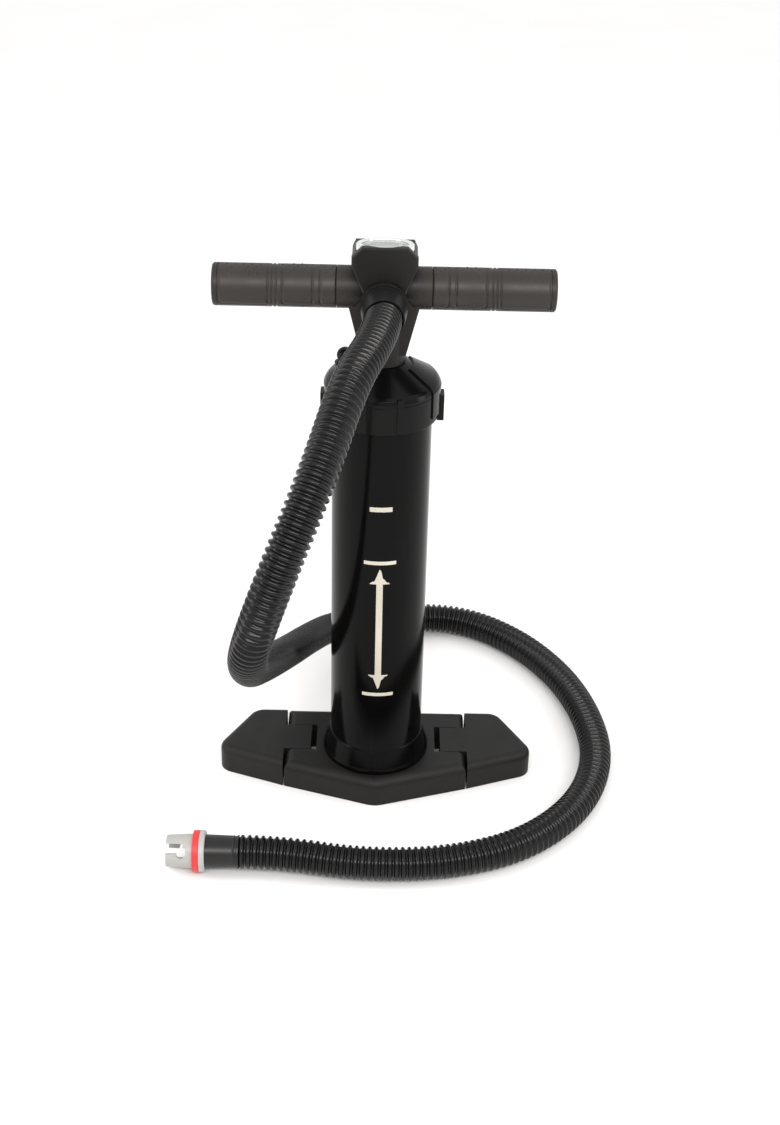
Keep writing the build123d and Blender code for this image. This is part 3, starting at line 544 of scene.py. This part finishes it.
numeral_points, numeral_faces = [], []
for number in range(0, highest_number + 1, 2):
    text = bpy.data.curves.new(f"numeral_{number}", "FONT")
    text.body = str(number)
    text.size = numeral_size
    text.align_x, text.align_y = "CENTER", "CENTER"
    text.resolution_u = 3
    holder = bpy.data.objects.new(f"numeral_{number}", text)
    flat = bpy.data.meshes.new_from_object(holder)
    angle = scale_angle(number, highest_number)
    middle_u, middle_v = numeral_radius * math.cos(angle), numeral_radius * math.sin(angle)
    numeral_faces += moved_faces([face.vertices for face in flat.polygons], len(numeral_points))
    for vertex in flat.vertices:
        numeral_points.append(on_dial(middle_u + vertex.co.x, middle_v + vertex.co.y))
    bpy.data.objects.remove(holder)
piece("dial_numerals", numeral_points, numeral_faces, ink, "plunger", smooth=False)

# ---------------------------------------------------------------- marks printed on the tube
# in mm; the marks are centred a little to the right of the tube's front line
tube_radius = 48.0
marks_middle = 1.0
bar_half, shaft_half, arrowhead_half, arrow_point_half, short_bar_half = 16, 3.2, 10, 0.1, 11


def patch(low, low_half, high, high_half):
    """Two rows of (height, left end, right end), given by their half widths."""
    return [
        (height, marks_middle - half, marks_middle + half)
        for height, half in ((low, low_half), (high, high_half))
    ]


def tube_mark(name, patches):
    """Thin marks wrapped on the tube, one for each patch."""
    points, faces = [], []
    columns = 13
    radius = tube_radius + PRINT_HEIGHT
    for rows in patches:
        faces += moved_faces(grid_faces(len(rows), columns, closed=False), len(points))
        for height, left, right in rows:
            for share in np.linspace(0, 1, columns):
                angle = (left + (right - left) * share) / tube_radius
                points.append((
                    radius * math.sin(angle) * MM, -radius * math.cos(angle) * MM, height * MM
                ))
    return piece(name, points, faces, print_cream, "stand")


tube_mark("tube_arrow", [
    patch(126, bar_half, 130, bar_half),
    patch(282, bar_half, 286, bar_half),
    patch(135, arrow_point_half, 152, arrowhead_half),
    patch(152, shaft_half, 260, shaft_half),
    patch(260, arrowhead_half, 277, arrow_point_half),
])
tube_mark("tube_bar", [patch(341, short_bar_half, 346, short_bar_half)])

# ---------------------------------------------------------------- hose
# the control points of the hose's centre line, in mm
hose_route = [
    (0, -60, 545), (-4, -104, 545), (-27, -188, 541), (-49, -261, 495), (-80, -304, 428),
    (-106, -302, 350), (-114, -234, 284), (-110, -152, 232), (-103, -70, 184), (-92, 10, 141),
    (-77, 90, 103), (-56, 166, 69), (-16, 228, 40), (38, 268, 20), (102, 270, 17.2),
    (164, 225, 17.2), (211, 156, 17.2), (236, 79, 17.2), (242, -3, 17.2), (215, -83, 17.2),
    (154, -147, 17.2), (74, -177, 17.2), (-12, -182, 17.6), (-92, -170, 21), (-133, -170, 21),
]
hose_radius = 17 * MM
hose_pitch = 6.65 * MM
hose_depth = 2.7 * MM
rings_per_pitch, hose_segments = 10, 34
# a crest's share of the half pitch, how flat it is on top and how steep at its foot
crest_share, crest_flatness, crest_steepness = 0.68, 2.3, 0.62


def spline_points(name, route, resolution=24):
    """The smooth line that a NURBS spline draws with the route's points as its control points."""
    curve = bpy.data.curves.new(name, "CURVE")
    curve.dimensions = "3D"
    curve.resolution_u = resolution
    spline = curve.splines.new("NURBS")
    spline.points.add(len(route) - 1)
    for point, place in zip(spline.points, route):
        point.co = (place[0] * MM, place[1] * MM, place[2] * MM, 1.0)
    spline.order_u = 3
    spline.use_endpoint_u = True
    holder = bpy.data.objects.new(name, curve)
    line = bpy.data.meshes.new_from_object(holder)
    points = np.array([tuple(vertex.co) for vertex in line.vertices])
    bpy.data.objects.remove(holder)
    return points


def distances_along(points):
    steps = np.linalg.norm(np.diff(points, axis=0), axis=1)
    return np.concatenate([[0.0], np.cumsum(steps)])


def resample(points, count):
    """Evenly spaced points along a line."""
    along = distances_along(points)
    wanted = np.linspace(0.0, along[-1], count)
    return np.stack([np.interp(wanted, along, points[:, k]) for k in range(3)], axis=1)


def carried_frames(points):
    """Two directions across the line at each point, carried along it without twist."""
    ahead = np.gradient(points, axis=0)
    ahead /= np.linalg.norm(ahead, axis=1)[:, None]
    side = np.cross(ahead[0], (0.0, 0.0, 1.0))
    side /= np.linalg.norm(side)
    sides = []
    for direction in ahead:
        side = side - direction * np.dot(side, direction)
        side /= np.linalg.norm(side)
        sides.append(side)
    sides = np.array(sides)
    return sides, np.cross(ahead, sides)


hose_line = spline_points("hose_line", hose_route)
hose_pitches = round(distances_along(hose_line)[-1] / hose_pitch)
hose_path = resample(hose_line, hose_pitches * rings_per_pitch + 1)
hose_sides, hose_ups = carried_frames(hose_path)
# round crests with short flat valleys between them; 0 is a crest's middle and 1 a valley's
from_crest = np.abs((np.arange(len(hose_path)) / rings_per_pitch) % 1.0 - 0.5) * 2
crest = (1 - np.minimum(from_crest / crest_share, 1.0) ** crest_flatness) ** crest_steepness
ring_radius = hose_radius - hose_depth * (1 - crest)
turns = np.linspace(0, FULL_TURN, hose_segments, endpoint=False)
round_hose = (
    np.cos(turns)[None, :, None] * hose_sides[:, None, :]
    + np.sin(turns)[None, :, None] * hose_ups[:, None, :]
)
hose_points = (hose_path[:, None, :] + ring_radius[:, None, None] * round_hose).reshape(-1, 3)
hose_faces = grid_faces(len(hose_path), hose_segments) + end_faces(len(hose_path), hose_segments)
hose = piece("corrugated_hose", hose_points, hose_faces, hose_plastic, None)
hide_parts("hose_upper", "hose_lower")
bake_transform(hose)

# ---------------------------------------------------------------- floor
scene = bpy.context.scene
floor_left, floor_right, floor_front, floor_back = -9, 9, -6, 12
floor_z = -0.0004


def floor_material():
    """Pale, slightly uneven paper."""
    s = Shader("floor_paper", Roughness=0.65)
    uneven = s.spread(s.noise(3.0, 3.0), 0.0, 1.0)
    s.link(s.mix(uneven, rgb(0.80, 0.80, 0.80), rgb(0.83, 0.83, 0.83)), "Base Color")
    bump = s.add("Bump", {"Strength": 0.1, "Distance": 0.0002, "Height": s.noise(300.0)})
    s.link(bump.outputs[0], "Normal")
    return s.material


floor_mesh = bpy.data.meshes.new("floor")
floor_mesh.from_pydata(
    [
        (floor_left, floor_front, floor_z), (floor_right, floor_front, floor_z),
        (floor_right, floor_back, floor_z), (floor_left, floor_back, floor_z),
    ],
    [], [(0, 1, 2, 3)],
)
floor_mesh.materials.append(floor_material())
floor = bpy.data.objects.new("floor", floor_mesh)
scene.collection.objects.link(floor)

# ---------------------------------------------------------------- lights
WARM = (1.0, 0.965, 0.94)
lit_point = (0, 0, 0.3)


def soft_box(name, place, width, height, power):
    """A rectangular lamp that faces the middle of the pump; metres and watts."""
    light = bpy.data.lights.new(name, "AREA")
    light.shape = "RECTANGLE"
    light.size, light.size_y = width, height
    light.energy = power
    light.color = WARM
    lamp = bpy.data.objects.new(name, light)
    lamp.location = place
    facing = Vector(lit_point) - Vector(place)
    lamp.rotation_euler = facing.to_track_quat("-Z", "Y").to_euler()
    scene.collection.objects.link(lamp)


sky = bpy.data.lights.new("broad_overhead", "SUN")
sky.energy = 0.7
sky.angle = math.radians(100)
sky.color = WARM
sky_lamp = bpy.data.objects.new("broad_overhead", sky)
sky_lamp.rotation_euler = (math.radians(8), math.radians(-4), 0)
scene.collection.objects.link(sky_lamp)
soft_box("soft_box_key", (0.2, -1.8, 1.8), 2.0, 0.45, 38)
soft_box("soft_box_left", (-1.6, -0.35, 0.9), 0.45, 1.6, 10)
soft_box("soft_box_right", (1.6, -0.25, 0.9), 0.45, 1.6, 7)

world = bpy.data.worlds.new("studio")
world.use_nodes = True
background = world.node_tree.nodes["Background"]
background.inputs["Color"].default_value = rgb(1.0, 1.0, 1.0)
background.inputs["Strength"].default_value = 0.97
scene.world = world
scene.view_settings.view_transform = "Standard"

# ---------------------------------------------------------------- camera
camera_y, camera_z = -1.4127, 1.0996
# radians: turned right, tipped down and leaning
yaw, pitch, roll = 0.0078, 0.5379, 0.0239
# the focal length in pixels of an image 1125 high, which is the sensor's longer side
focal_pixels, image_height, sensor = 1633.5, 1125, 36.0

forward = Vector(
    (math.sin(yaw) * math.cos(pitch), math.cos(yaw) * math.cos(pitch), -math.sin(pitch))
)
level = Vector((math.cos(yaw), -math.sin(yaw), 0.0))
upward = level.cross(forward)
right = level * math.cos(roll) + upward * math.sin(roll)
above = upward * math.cos(roll) - level * math.sin(roll)
camera_data = bpy.data.cameras.new("camera")
camera_data.sensor_width = sensor
camera_data.lens = sensor * focal_pixels / image_height
camera = bpy.data.objects.new("camera", camera_data)
camera.matrix_world = Matrix((
    (right.x, above.x, -forward.x, 0.0),
    (right.y, above.y, -forward.y, camera_y),
    (right.z, above.z, -forward.z, camera_z),
    (0, 0, 0, 1),
))
scene.collection.objects.link(camera)
scene.camera = camera
